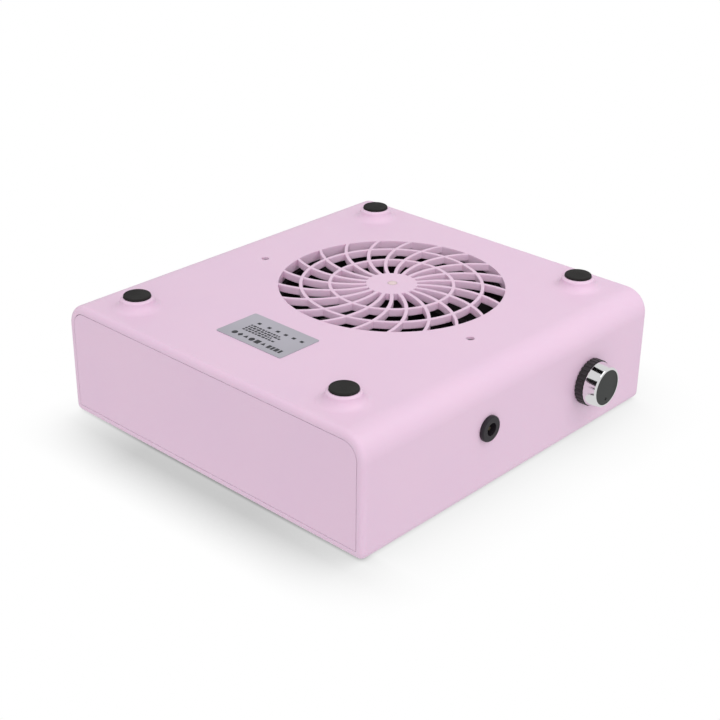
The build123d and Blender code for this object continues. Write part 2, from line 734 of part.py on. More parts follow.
with BuildPart() as knob_skirt:
    with BuildSketch(back_plane.offset(knob_lift)):
        with Locations(knob_spot):
            Circle(knob_skirt_radius)
            with PolarLocations(knob_skirt_radius + 0.2, knob_flutes):
                Circle(knob_flute_radius, mode=Mode.SUBTRACT)
    extrude(amount=knob_skirt_length)
    with BuildSketch(back_plane.offset(knob_shoulder)):
        with Locations(knob_spot):
            Circle(knob_face_radius)
    extrude(amount=core_top - knob_shoulder)
    with BuildSketch(back_plane.offset(knob_lift)):
        with Locations(knob_spot):
            Circle(knob_cavity_radius)
    extrude(amount=knob_cavity_depth, mode=Mode.SUBTRACT)
    with BuildSketch(back_plane.offset(cavity_top)):
        with Locations(knob_spot):
            Circle(control_shaft_radius)
    extrude(amount=shaft_top - cavity_top, mode=Mode.SUBTRACT)
save(knob_skirt.part, "knob_skirt")

with BuildPart() as knob_ring:
    knob_half = Plane(origin=(knob_x, back_y, knob_z), x_dir=(1, 0, 0), z_dir=(0, 0, 1))
    with BuildSketch(knob_half) as ring_profile:
        Polygon((knob_face_radius, knob_shoulder), (knob_ring_base_radius, knob_shoulder),
                (knob_ring_rim_radius, knob_rim), (knob_face_radius, knob_rim), align=None)
        outer_rim = ring_profile.vertices().sort_by_distance(
            Vector(knob_ring_rim_radius, knob_rim, 0))[0]
        fillet(outer_rim, radius=0.8)
        outer_base = ring_profile.vertices().sort_by_distance(
            Vector(knob_ring_base_radius, knob_shoulder, 0))[0]
        fillet(outer_base, radius=0.5)
    revolve(axis=Axis((knob_x, 0, knob_z), (0, 1, 0)))
save(knob_ring.part, "knob_ring")

with BuildPart() as knob_face:
    with BuildSketch(back_plane.offset(core_top)):
        with Locations(knob_spot):
            Circle(knob_face_radius)
    extrude(amount=knob_face_thickness)
    with BuildSketch(back_plane.offset(face_top)):
        with Locations((-knob_x, knob_z + pointer_offset)):
            Circle(pointer_radius)
    extrude(amount=-pointer_depth, mode=Mode.SUBTRACT)
save(knob_face.part, "knob_face")

# Power socket: body, its nut inside the wall, centre pin and terminals
with BuildPart() as jack_body:
    with BuildSketch(back_plane):
        with Locations(jack_spot):
            Circle(jack_flange_radius)
    extrude(amount=jack_flange_thickness)
    fillet(jack_body.faces().sort_by(Axis.Y)[-1].edges(), radius=jack_flange_round)
    with BuildSketch(back_plane):
        with Locations(jack_spot):
            Circle(jack_barrel_radius)
    extrude(amount=-jack_barrel_length)
    with BuildSketch(back_plane.offset(jack_flange_thickness)):
        with Locations(jack_spot):
            Circle(jack_hole_radius)
    extrude(amount=-jack_hole_depth, mode=Mode.SUBTRACT)
save(jack_body.part, "jack_body")

with BuildPart() as jack_nut:
    with BuildSketch(back_plane.offset(-wall)):
        with Locations(jack_spot):
            RegularPolygon(jack_nut_radius, 6, major_radius=False)
            Circle(jack_barrel_radius + 0.05, mode=Mode.SUBTRACT)
    extrude(amount=-jack_nut_thickness)
save(jack_nut.part, "jack_nut")

with BuildPart() as jack_pin:
    with BuildSketch(back_plane.offset(jack_flange_thickness - jack_hole_depth)):
        with Locations(jack_spot):
            Circle(jack_pin_radius)
    extrude(amount=jack_hole_depth - jack_pin_short)
save(jack_pin.part, "jack_pin")

terminal_length = 4.0
with BuildPart() as jack_terminals:
    with BuildSketch(back_plane.offset(-jack_barrel_length)):
        with Locations((-jack_x - 2.5, jack_z), (-jack_x + 2.5, jack_z)):
            Rectangle(0.6, 2.4)
    extrude(amount=-terminal_length)
save(jack_terminals.part, "jack_terminals")

# Control board behind the speed control, with its larger components
board_plane = back_plane.offset(-wall - control_depth - board_thickness)
fan_connector_z = knob_z - fan_connector_drop
jack_connector_z = knob_z + jack_connector_rise
with BuildPart() as control_board:
    with BuildSketch(board_plane):
        with Locations((-board_x, knob_z)):
            RectangleRounded(board_length, board_height, 1.0)
    extrude(amount=board_thickness)
save(control_board.part, "control_board")

with BuildPart() as board_connectors:
    with BuildSketch(board_plane):
        with Locations((-connector_x, fan_connector_z), (-connector_x, jack_connector_z)):
            Rectangle(connector_width, connector_height)
    extrude(amount=-connector_depth)
save(board_connectors.part, "board_connectors")

with BuildPart() as board_transistor:
    with BuildSketch(board_plane):
        with Locations((-transistor_x, knob_z)):
            Rectangle(transistor_size[0], transistor_size[2])
    extrude(amount=-transistor_size[1])
save(board_transistor.part, "board_transistor")

with BuildPart() as board_capacitor:
    with BuildSketch(board_plane):
        with Locations((-capacitor_x, knob_z)):
            Circle(capacitor_radius)
    extrude(amount=-capacitor_length)
    fillet(board_capacitor.faces().sort_by(Axis.Y)[0].edges(), radius=0.5)
save(board_capacitor.part, "board_capacitor")

# Leads inside the box: motor to board, and socket to board
lead_y = inner_back_y - control_depth - board_thickness - connector_depth + 4.0
lead_z = fan_seat_z + lead_level
with BuildPart() as fan_lead:
    with BuildLine() as fan_lead_path:
        FilletPolyline(
            (fan_x, stator_radius + 0.5, lead_z),
            (fan_x, lead_y, lead_z),
            (fan_x, lead_y, fan_connector_z - connector_height / 2),
            radius=lead_bend,
        )
    start_plane = Plane(origin=fan_lead_path.line @ 0, z_dir=fan_lead_path.line % 0)
    with BuildSketch(start_plane):
        Circle(lead_radius)
    sweep(path=fan_lead_path.line)
save(fan_lead.part, "fan_lead")

jack_lead_start_y = back_y - jack_barrel_length - terminal_length
with BuildPart() as jack_lead:
    with BuildLine() as jack_lead_path:
        FilletPolyline(
            (jack_x, jack_lead_start_y, jack_z),
            (jack_x, lead_y, jack_z),
            (0, lead_y, jack_connector_z),
            (connector_x - connector_width / 2, lead_y, jack_connector_z),
            radius=lead_bend - 1.0,
        )
    start_plane = Plane(origin=jack_lead_path.line @ 0, z_dir=jack_lead_path.line % 0)
    with BuildSketch(start_plane):
        Circle(lead_radius)
    sweep(path=jack_lead_path.line)
save(jack_lead.part, "jack_lead")
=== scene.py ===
"""Looks of the nail dust collector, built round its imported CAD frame.

The machine stands on its feet with +Z up. The camera looks at it from below and behind, with the
picture's top towards -Z, so the underside with its grille and feet faces the viewer.
Each sub-assembly is a class that dresses its CAD pieces and builds what is finer than the CAD.
Sizes are in metres.
"""

from __future__ import annotations

import json
import logging
import math
import random
from dataclasses import dataclass
from enum import Enum

import bmesh
import bpy
from mathutils import Matrix, Vector

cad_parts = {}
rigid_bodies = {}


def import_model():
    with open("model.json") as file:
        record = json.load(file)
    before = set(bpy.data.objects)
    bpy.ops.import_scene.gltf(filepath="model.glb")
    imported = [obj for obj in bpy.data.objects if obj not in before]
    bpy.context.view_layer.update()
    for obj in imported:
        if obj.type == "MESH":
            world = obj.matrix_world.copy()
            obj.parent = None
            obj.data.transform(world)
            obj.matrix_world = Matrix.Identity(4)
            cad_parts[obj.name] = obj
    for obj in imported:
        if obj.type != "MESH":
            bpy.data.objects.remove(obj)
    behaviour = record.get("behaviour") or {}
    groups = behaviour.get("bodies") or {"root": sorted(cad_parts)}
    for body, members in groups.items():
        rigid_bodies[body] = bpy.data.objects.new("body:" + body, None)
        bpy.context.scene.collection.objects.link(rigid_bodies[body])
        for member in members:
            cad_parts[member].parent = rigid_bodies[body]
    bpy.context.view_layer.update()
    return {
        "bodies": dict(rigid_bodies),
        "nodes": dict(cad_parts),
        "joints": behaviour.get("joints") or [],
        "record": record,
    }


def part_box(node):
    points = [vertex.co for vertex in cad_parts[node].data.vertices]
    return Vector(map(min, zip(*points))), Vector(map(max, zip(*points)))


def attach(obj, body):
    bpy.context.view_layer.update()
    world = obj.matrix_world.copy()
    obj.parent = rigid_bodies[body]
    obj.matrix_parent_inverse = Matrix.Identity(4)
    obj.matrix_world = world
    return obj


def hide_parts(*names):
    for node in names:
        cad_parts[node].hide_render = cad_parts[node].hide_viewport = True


LOG = logging.getLogger("dust_collector")
SEED = 7

WELD_DISTANCE = 1e-6
SQUARE = ((-1, -1), (1, -1), (1, 1), (-1, 1))
WHITE = (1.0, 1.0, 1.0, 1.0)

Colour = tuple[float, float, float]
Point = tuple[float, float, float]
Flat = tuple[float, float]
Face = tuple[int, ...]


class Body(Enum):
    """The CAD bodies that pieces ride on."""

    BOX = "box"
    ROTOR = "rotor"
    KNOB = "knob"
    CASSETTE = "cassette"


def add_node(tree: bpy.types.NodeTree, kind: str, values: dict | None = None,
             **settings: object) -> bpy.types.Node:
    """Add one node to a shader or geometry tree.

    Args:
        tree: The tree.
        kind: The node's Blender type.
        values: Input values or output sockets to link, by input name or index.
        settings: Attributes to set on the node.

    Returns:
        The new node.
    """
    node = tree.nodes.new(kind)
    for key, value in settings.items():
        setattr(node, key, value)
    for key, value in (values or {}).items():
        if isinstance(value, bpy.types.NodeSocket):
            tree.links.new(value, node.inputs[key])
        else:
            node.inputs[key].default_value = value
    return node


# ---------------------------------------------------------------------------------------------
# Finishes
# ---------------------------------------------------------------------------------------------

WEAR_SCALE = 3.1
RELIEF_STRENGTH = 0.6
COAT_ROUGHNESS = 0.12
BEVEL_SAMPLES = 6
LIGHT_DEPTHS = (1.0, 0.7, 0.8)
LIGHT_DEPTH_SCALE = 0.0015


class ShaderSheet:
    """A material's node tree, filled node by node."""

    def __init__(self, name: str) -> None:
        """Make an empty material.

        Args:
            name: The material's name.
        """
        self.material = bpy.data.materials.new(name)
        self.material.use_nodes = True
        self.tree = self.material.node_tree
        self.tree.nodes.clear()
        self.output = self.tree.nodes.new("ShaderNodeOutputMaterial")

    def add(self, kind: str, values: dict | None = None, **settings: object) -> bpy.types.Node:
        """Return a new node, as add_node makes it."""
        return add_node(self.tree, kind, values, **settings)

    def place(self) -> bpy.types.NodeSocket:
        """Return the socket that gives a point's place in the shared frame."""
        return self.add("ShaderNodeTexCoord").outputs["Object"]

    def noise(self, place: bpy.types.NodeSocket, scale: float, detail: float = 2.0,
              roughness: float = 0.5) -> bpy.types.NodeSocket:
        """Return a noise between 0 and 1 at a place, with scale features per metre."""
        values = {"Vector": place, "Scale": scale, "Detail": detail, "Roughness": roughness}
        return self.add("ShaderNodeTexNoise", values).outputs["Fac"]

    def between(self, factor: bpy.types.NodeSocket, low: float, high: float,
                start: float = 0.3, end: float = 0.7) -> bpy.types.NodeSocket:
        """Stretch a factor to other ends.

        Args:
            factor: The value to stretch.
            low: What start becomes.
            high: What end becomes.
            start: Where the stretch begins.
            end: Where it ends.

        Returns:
            The stretched value, kept between low and high.
        """
        values = {
            "Value": factor, "From Min": start, "From Max": end, "To Min": low, "To Max": high,
        }
        return self.add("ShaderNodeMapRange", values).outputs["Result"]

    def times(self, first: bpy.types.NodeSocket,
              second: bpy.types.NodeSocket) -> bpy.types.NodeSocket:
        """Return the product of two values."""
        node = self.add("ShaderNodeMath", {0: first, 1: second}, operation="MULTIPLY")
        return node.outputs["Value"]

    def mix(self, factor: bpy.types.NodeSocket, first: Colour,
            second: Colour) -> bpy.types.NodeSocket:
        """Mix two colours.

        Args:
            factor: 0 for the first colour, 1 for the second.
            first: One colour.
            second: The other.

        Returns:
            The mixed colour.
        """
        node = self.add("ShaderNodeMix", data_type="RGBA")
        self.tree.links.new(factor, node.inputs["Factor"])
        node.inputs["A"].default_value = (*first, 1.0)
        node.inputs["B"].default_value = (*second, 1.0)
        return node.outputs["Result"]

    def finish(self, shader: bpy.types.NodeSocket) -> bpy.types.Material:
        """Join a shader to the output and return the material."""
        self.tree.links.new(shader, self.output.inputs["Surface"])
        return self.material


@dataclass(frozen=True)
class Finish:
    """A surface with a slow change of tone, a fine grain and slightly softened edges.

    Attributes:
        name: The material's name.
        colour: Main colour.
        tint: Colour that the slow change of tone drifts to.
        roughness: Lowest and highest roughness.
        metallic: 0 for plastics, 1 for metals.
        tone_scale: Slow features per metre.
        grain_scale: Fine features per metre.
        grain_depth: Height of the grain in metres.
        edge: Radius of the softened edges in metres.
        coat: Strength of a clear top coat.
        subsurface: How much light goes through the surface.
        specular: Strength of the surface's own reflection, 0.5 for a bare plastic.
    """

    name: str
    colour: Colour
    tint: Colour
    roughness: tuple[float, float] = (0.4, 0.5)
    metallic: float = 0.0
    tone_scale: float = 25.0
    grain_scale: float = 2200.0
    grain_depth: float = 0.00002
    edge: float = 0.00025
    coat: float = 0.0
    subsurface: float = 0.0
    specular: float = 0.5

    def relief(self, sheet: ShaderSheet, place: bpy.types.NodeSocket) -> bpy.types.NodeSocket:
        """Return the height of the surface's fine grain."""
        return sheet.noise(place, self.grain_scale, detail=3.0, roughness=0.6)

    def pattern(self, sheet: ShaderSheet, place: bpy.types.NodeSocket) -> bpy.types.NodeSocket:
        """Return the factor that mixes the colour and the tint."""
        return sheet.between(sheet.noise(place, self.tone_scale, detail=4.0), 0.0, 1.0)

    def build(self) -> bpy.types.Material:
        """Make the material, once per name.

        Returns:
            The finished material.
        """
        found = bpy.data.materials.get(self.name)
        if found:
            return found
        sheet = ShaderSheet(self.name)
        place = sheet.place()
        height = self.relief(sheet, place)
        shade = sheet.mix(self.pattern(sheet, place), self.colour, self.tint)
        wear = sheet.noise(place, self.tone_scale * WEAR_SCALE, detail=5.0)
        normal = sheet.add("ShaderNodeBevel", {"Radius": self.edge}, samples=BEVEL_SAMPLES)
        bump = sheet.add("ShaderNodeBump", {
            "Height": height,
            "Distance": self.grain_depth,
            "Strength": RELIEF_STRENGTH,
            "Normal": normal.outputs["Normal"],
        })
        shader = sheet.add("ShaderNodeBsdfPrincipled", {
            "Base Color": shade,
            "Roughness": sheet.between(wear, *self.roughness),
            "Normal": bump.outputs["Normal"],
        })
        shader.inputs["Metallic"].default_value = self.metallic
        shader.inputs["Specular IOR Level"].default_value = self.specular
        shader.inputs["Coat Weight"].default_value = self.coat
        shader.inputs["Coat Roughness"].default_value = COAT_ROUGHNESS
        if self.subsurface:
            shader.inputs["Subsurface Weight"].default_value = self.subsurface
            shader.inputs["Subsurface Radius"].default_value = LIGHT_DEPTHS
            shader.inputs["Subsurface Scale"].default_value = LIGHT_DEPTH_SCALE
        return sheet.finish(shader.outputs["BSDF"])


@dataclass(frozen=True)
class BrushedFinish(Finish):
    """A metal with fine marks along one direction.

    Attributes:
        stretch: How much the marks are drawn out along X, Y and Z.
    """

    stretch: Point = (1.0, 0.03, 1.0)

    def relief(self, sheet: ShaderSheet, place: bpy.types.NodeSocket) -> bpy.types.NodeSocket:
        """Return the height of the brushed marks."""
        drawn = sheet.add("ShaderNodeMapping", {"Vector": place, "Scale": self.stretch})
        return sheet.noise(drawn.outputs["Vector"], self.grain_scale, detail=4.0, roughness=0.7)


@dataclass(frozen=True)
class PorousFinish(Finish):
    """Foam or paper with small pores or fibres."""

    def relief(self, sheet: ShaderSheet, place: bpy.types.NodeSocket) -> bpy.types.NodeSocket:
        """Return the height of the pores."""
        pores = sheet.add("ShaderNodeTexVoronoi", {"Vector": place, "Scale": self.grain_scale})
        return pores.outputs["Distance"]


@dataclass(frozen=True)
class WoundFinish(Finish):
    """Enamelled wire wound in close turns, seen as bands along Z.

    Attributes:
        band_scale: How close the turns are, on the wave texture's own scale.
    """

    band_scale: float = 2000.0 / 3.0

    def relief(self, sheet: ShaderSheet, place: bpy.types.NodeSocket) -> bpy.types.NodeSocket:
        """Add bands as close as the wire's turns.

        Args:
            sheet: The material being made.
            place: A point's place in the shared frame.

        Returns:
            The height of the turns.
        """
        bands = sheet.add("ShaderNodeTexWave", {
            "Vector": place, "Scale": self.band_scale, "Distortion": 0.4, "Detail": 1.0,
        }, bands_direction="Z")
        return bands.outputs["Fac"]


@dataclass(frozen=True)
class TrackFinish(Finish):
    """A lacquered circuit board with copper tracks showing through.

    Attributes:
        track_scale: Tracks per metre.
        track_edge: Where a track's edge begins and ends, as shares of a cell.
    """

    track_scale: float = 260.0
    track_edge: tuple[float, float] = (0.05, 0.09)

    def pattern(self, sheet: ShaderSheet, place: bpy.types.NodeSocket) -> bpy.types.NodeSocket:
        """Return the factor that is 1 on a track and 0 beside it.

        Args:
            sheet: The material being made.
            place: A point's place in the shared frame.

        Returns:
            The factor.
        """
        cells = sheet.add("ShaderNodeTexVoronoi", {
            "Vector": place, "Scale": self.track_scale, "Randomness": 0.55,
        }, distance="MANHATTAN", feature="DISTANCE_TO_EDGE")
        return sheet.between(cells.outputs["Distance"], 1.0, 0.0, *self.track_edge)


PINK: Colour = (0.722, 0.520, 0.670)
PINK_WARM: Colour = (0.734, 0.529, 0.672)


class Finishes:
    """Every finish used on the machine."""

    CASING = Finish("casing_satin_pink", PINK, PINK_WARM, (0.40, 0.47), subsurface=0.2,
                    edge=0.0007, grain_scale=3000.0, grain_depth=0.000012)
    COVER = Finish("cover_satin_pink", PINK_WARM, PINK, (0.42, 0.50), subsurface=0.12,
                   edge=0.0003, grain_scale=3000.0, grain_depth=0.000012)
    GATE = Finish("gate_mark_pink", (0.735, 0.555, 0.610), (0.750, 0.590, 0.560), (0.35, 0.45),
                  subsurface=0.1)
    TRAY = Finish("tray_pink", (0.68, 0.47, 0.61), (0.71, 0.49, 0.63), (0.45, 0.6), edge=0.0003)
    PAD = PorousFinish("pad_rubber_black", (0.010, 0.010, 0.010), (0.020, 0.019, 0.018),
                       (0.55, 0.75), grain_scale=1500.0, grain_depth=0.00008, edge=0.0005,
                       specular=0.16)
    FOIL = BrushedFinish("plate_foil_silver", (0.47, 0.45, 0.51), (0.40, 0.39, 0.44),
                         (0.38, 0.5), metallic=0.35, grain_scale=1800.0, grain_depth=0.00001)
    PRINT = Finish("plate_print_grey", (0.030, 0.030, 0.035), (0.055, 0.055, 0.062),
                   (0.5, 0.65), specular=0.2)
    SCREW = BrushedFinish("screw_plated_steel", (0.42, 0.42, 0.42), (0.32, 0.32, 0.33),
                          (0.25, 0.4), metallic=1.0, stretch=(1.0, 1.0, 0.2))
    FRAME = Finish("frame_off_white", (0.70, 0.68, 0.69), (0.74, 0.72, 0.72), (0.4, 0.5),
                   edge=0.0004)
    GUARD = Finish("guard_powder_coat", (0.66, 0.64, 0.65), (0.70, 0.68, 0.69), (0.36, 0.46),
                   grain_scale=1600.0, grain_depth=0.00004, edge=0.0003, coat=0.15)
    PAPER = PorousFinish("filter_paper_cream", (0.80, 0.77, 0.70), (0.72, 0.69, 0.61),
                         (0.8, 0.95), grain_scale=2600.0, grain_depth=0.00006)
    GLUE = Finish("glue_bead", (0.82, 0.80, 0.72), (0.70, 0.66, 0.55), (0.25, 0.4))
    FOAM = PorousFinish("gasket_foam_black", (0.03, 0.03, 0.03), (0.05, 0.05, 0.05),
                        (0.85, 0.95), grain_scale=1300.0, grain_depth=0.0002)
    FAN = Finish("fan_black", (0.004, 0.003, 0.004), (0.008, 0.006, 0.007), (0.6, 0.75),
                 specular=0.08)
    ROTOR = Finish("rotor_black", (0.004, 0.003, 0.004), (0.009, 0.007, 0.008), (0.5, 0.65),
                   specular=0.1)
    STEEL = BrushedFinish("ground_steel", (0.55, 0.55, 0.56), (0.46, 0.46, 0.47), (0.18, 0.3),
                          metallic=1.0, stretch=(1.0, 1.0, 0.05))
    BOARD = TrackFinish("board_lacquer_green", (0.012, 0.10, 0.045), (0.05, 0.20, 0.08),
                        (0.2, 0.3), coat=0.4)
    IRON = BrushedFinish("laminated_iron", (0.22, 0.22, 0.23), (0.15, 0.15, 0.16), (0.4, 0.5),
                         metallic=1.0, stretch=(0.05, 0.05, 1.0))
    COPPER = WoundFinish("coil_copper", (0.52, 0.20, 0.09), (0.62, 0.27, 0.12), (0.22, 0.32),
                         metallic=1.0, grain_depth=0.0001, coat=0.5)
    MAGNET = Finish("magnet_dark", (0.06, 0.06, 0.065), (0.09, 0.09, 0.095), (0.5, 0.65))
    CONTROL = BrushedFinish("control_nickel", (0.58, 0.57, 0.54), (0.48, 0.47, 0.45),
                            (0.28, 0.4), metallic=1.0)
    KNOB = Finish("knob_black", (0.005, 0.003, 0.005), (0.010, 0.007, 0.010), (0.34, 0.46),
                  edge=0.0002, specular=0.05)
    CHROME = Finish("knob_chrome", (0.90, 0.90, 0.91), (0.86, 0.86, 0.87), (0.02, 0.05),
                    metallic=1.0, grain_depth=0.000001, edge=0.0003)
    FACE = BrushedFinish("knob_face_grey", (0.027, 0.029, 0.028), (0.038, 0.040, 0.039),
                         (0.36, 0.46), grain_depth=0.00002, stretch=(1.0, 1.0, 1.0),
                         specular=0.2)
    SOCKET = Finish("socket_black", (0.012, 0.009, 0.013), (0.020, 0.016, 0.021), (0.25, 0.38),
                    edge=0.0004, specular=0.25)
    BRASS = BrushedFinish("plated_brass", (0.10, 0.08, 0.05), (0.07, 0.055, 0.035), (0.3, 0.45),
                          metallic=1.0)
    CONNECTOR = Finish("connector_cream", (0.78, 0.75, 0.66), (0.72, 0.69, 0.60), (0.4, 0.5))
    COMPONENT = Finish("component_black", (0.02, 0.02, 0.02), (0.035, 0.035, 0.035),
                       (0.35, 0.5))
    LEAD = Finish("lead_black", (0.02, 0.02, 0.022), (0.032, 0.032, 0.034), (0.3, 0.4))


# ---------------------------------------------------------------------------------------------
# Mesh and geometry-node helpers
# ---------------------------------------------------------------------------------------------


def mesh_object(name: str, mesh: bpy.types.Mesh) -> bpy.types.Object:
    """Put a mesh in the scene as an object at the origin.

    Args:
        name: The object's name.
        mesh: Its mesh, already in the shared frame.

    Returns:
        The new object.
    """
    made = bpy.data.objects.new(name, mesh)
    bpy.context.scene.collection.objects.link(made)
    return made


def mesh_from(name: str, points: list[Point], faces: list[Face]) -> bpy.types.Mesh:
    """Make a mesh with its normals facing outwards.

    Args:
        name: The mesh's name.
        points: Its points.
        faces: Each face's points, by number.

    Returns:
        The new mesh.
    """
    mesh = bpy.data.meshes.new(name)
    mesh.from_pydata(points, [], faces)
    turned = bmesh.new()
    turned.from_mesh(mesh)
    bmesh.ops.recalc_face_normals(turned, faces=turned.faces)
    turned.to_mesh(mesh)
    turned.free()
    return mesh


def close_up(mesh: bpy.types.Mesh) -> None:
    """Weld copies that meet and close the ends that stay open.

    Args:
        mesh: The mesh to change.
    """
    welded = bmesh.new()
    welded.from_mesh(mesh)
    bmesh.ops.remove_doubles(welded, verts=welded.verts, dist=WELD_DISTANCE)
    open_edges = [edge for edge in welded.edges if edge.is_boundary]
    bmesh.ops.holes_fill(welded, edges=open_edges)
    bmesh.ops.recalc_face_normals(welded, faces=welded.faces)
    welded.to_mesh(mesh)
    welded.free()


def polygon(sides: int, width: float, depth: float) -> list[Flat]:
    """Return corners in even turns round an ellipse of this width and depth, in order."""
    turns = [math.tau * side / sides for side in range(sides)]
    return [(width / 2 * math.cos(turn), depth / 2 * math.sin(turn)) for turn in turns]


def prism_faces(count: int) -> list[Face]:
    """Join two outlines of the same number of points into a closed solid.

    Args:
        count: The points in each outline, the second's numbers following the first's.

    Returns:
        The two ends, then the sides.
    """
    faces: list[Face] = [tuple(range(count))[::-1], tuple(range(count, 2 * count))]
    for i in range(count):
        j = (i + 1) % count
        faces.append((i, j, count + j, count + i))
    return faces


class NodeTree:
    """A geometry-node tree under construction, with named inputs."""

    def __init__(self, name: str) -> None:
        """Start a tree that takes geometry and gives geometry.

        Args:
            name: The tree's name.
        """
        self.tree = bpy.data.node_groups.new(name, "GeometryNodeTree")
        for way in ("INPUT", "OUTPUT"):
            self.tree.interface.new_socket("Geometry", in_out=way,
                                           socket_type="NodeSocketGeometry")
        self.inputs: dict[str, str] = {}
        self.entry: bpy.types.Node | None = None

    def declare(self, name: str, kind: str) -> None:
        """Add a named input socket.

        Args:
            name: The input's name.
            kind: The socket type, such as Float or Int.
        """
        socket = self.tree.interface.new_socket(name, in_out="INPUT",
                                                socket_type=f"NodeSocket{kind}")
        self.inputs[name] = socket.identifier

    def value(self, name: str) -> bpy.types.NodeSocket:
        """Give the socket that carries a named input.

        Args:
            name: The input's name.

        Returns:
            The socket, on a group input node made once.
        """
        if self.entry is None:
            self.entry = self.tree.nodes.new("NodeGroupInput")
        return self.entry.outputs[name]

    def add(self, kind: str, values: dict | None = None, **settings: object) -> bpy.types.Node:
        """Return a new node, as add_node makes it."""
        return add_node(self.tree, kind, values, **settings)

    def close(self, geometry: bpy.types.NodeSocket) -> None:
        """Realize the instances, set the material and give the result.

        Args:
            geometry: The instances.
        """
        real = self.add("GeometryNodeRealizeInstances", {"Geometry": geometry})
        dressed = self.add("GeometryNodeSetMaterial", {
            "Geometry": real.outputs["Geometry"], "Material": self.value("Material"),
        })
        out = self.tree.nodes.new("NodeGroupOutput")
        self.tree.links.new(dressed.outputs["Geometry"], out.inputs["Geometry"])


def row_tree() -> NodeTree:
    """Make a tree that repeats its own mesh along a line.

    Returns:
        The tree, with inputs Count, Step and Material.
    """
    made = NodeTree("repeat_line")
    made.declare("Count", "Int")
    made.declare("Step", "Vector")
    made.declare("Material", "Material")
    row = made.add("GeometryNodeMeshLine", {
        "Count": made.value("Count"), "Offset": made.value("Step"),
    })
    spots = made.add("GeometryNodeMeshToPoints", {"Mesh": row.outputs["Mesh"]})
    copies = made.add("GeometryNodeInstanceOnPoints", {
        "Points": spots.outputs["Points"], "Instance": made.value("Geometry"),
    })
    made.close(copies.outputs["Instances"])
    return made


def row_of(name: str, unit: bpy.types.Mesh, count: int, step: Point,
           material: bpy.types.Material) -> bpy.types.Mesh:
    """Make one mesh of copies of a unit along a line.

    Args:
        name: The new mesh's name.
        unit: The mesh to repeat.
        count: How many copies.
        step: The way from one copy to the next.
        material: The copies' material.

    Returns:
        The new mesh, closed up.
    """
    tree = row_tree()
    holder = mesh_object(f"{name}_unit", unit)
    modifier = holder.modifiers.new("repeat", "NODES")
    modifier.node_group = tree.tree
    modifier[tree.inputs["Count"]] = count
    modifier[tree.inputs["Step"]] = step
    modifier[tree.inputs["Material"]] = material
    bpy.context.view_layer.update()
    shown = holder.evaluated_get(bpy.context.evaluated_depsgraph_get())
    mesh = bpy.data.meshes.new_from_object(shown)
    mesh.name = name
    bpy.data.objects.remove(holder)
    close_up(mesh)
    return mesh


# ---------------------------------------------------------------------------------------------
# Sub-assemblies
# ---------------------------------------------------------------------------------------------


@dataclass
class SubAssembly:
    """A group of pieces on one or more bodies.

    Attributes:
    """

    frame: dict

    def dress(self, finishes: dict[str, Finish]) -> None:
        """Give CAD pieces their materials.

        Args:
            finishes: Each CAD piece's finish.
        """
        for node, finish in finishes.items():
            mesh = self.frame["nodes"][node].data
            mesh.materials.clear()
            mesh.materials.append(finish.build())
            LOG.info("dressed %s in %s", node, finish.name)

    def add(self, name: str, mesh: bpy.types.Mesh, body: Body, slot: str,
            finish: Finish | None = None, replaces: tuple[str, ...] = ()) -> bpy.types.Object:
        """Put a new piece on a body.

        Args:
            name: The piece's name.
            mesh: Its mesh in the shared frame.
            body: The body that it moves with.
            slot: Not used.
            finish: Its finish, unless the mesh has one.
            replaces: CAD pieces that it stands for.

        Returns:
            The new object.
        """
        piece = mesh_object(name, mesh)
        if finish is not None:
            mesh.materials.clear()
            mesh.materials.append(finish.build())
        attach(piece, body.value)
        if replaces:
            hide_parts(*replaces)
        LOG.info("built %s, %d faces", name, len(mesh.polygons))
        return piece


@dataclass
class Casing(SubAssembly):
    """The pink box with its side covers, tray, pads and underside screws.

    Attributes:
        gate_width: Width of the spot that moulding leaves on the hub.
        gate_flat: Width of the flat part of the spot.
        gate_height: Its height.
        gate_sides: Sides of its round outline.
    """

    gate_width: float = 0.0052
    gate_flat: float = 0.00312
    gate_height: float = 0.00015
    gate_sides: int = 24

    def build(self) -> None:
        """Dress the box."""
        self.dress({
            "casing": Finishes.CASING,
            "side_cover_left": Finishes.COVER,
            "side_cover_right": Finishes.COVER,
            "filter_tray": Finishes.TRAY,
            "foot_pads": Finishes.PAD,
            "case_screws": Finishes.SCREW,
        })
        self.gate_mark()

    def gate_mark(self) -> None:
        """Build the low trimmed spot that moulding leaves in the middle of the grille's hub."""
        hub = sum(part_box("fan_rotor"), Vector()) / 2
        # The plate is stuck to the underside, and the hub's face is level with it
        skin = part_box("rating_plate")[1].z
        tip = skin - self.gate_height
        rings = ((self.gate_flat, tip), (self.gate_width, skin))
        points: list[Point] = [(hub.x, hub.y, tip)]
        for width, level in rings:
            points.extend((hub.x + x, hub.y + y, level)
                          for x, y in polygon(self.gate_sides, width, width))
        sides = self.gate_sides
        faces: list[Face] = [tuple(range(1 + sides, 1 + 2 * sides))]
        for i in range(sides):
            j = (i + 1) % sides
            faces.append((0, 1 + i, 1 + j))
            faces.append((1 + i, 1 + j, 1 + sides + j, 1 + sides + i))
        self.add("gate_mark", mesh_from("gate_mark", points, faces), Body.BOX, "casing_plastic",
                 Finishes.GATE)


class Mark(Enum):
    """The plain shapes printed on the rating plate."""

    BAR = "bar"
    DIAMOND = "diamond"
    TRIANGLE = "triangle"
    DISC = "disc"


MARK_SIDES = {Mark.DIAMOND: 4, Mark.TRIANGLE: 3, Mark.DISC: 16}


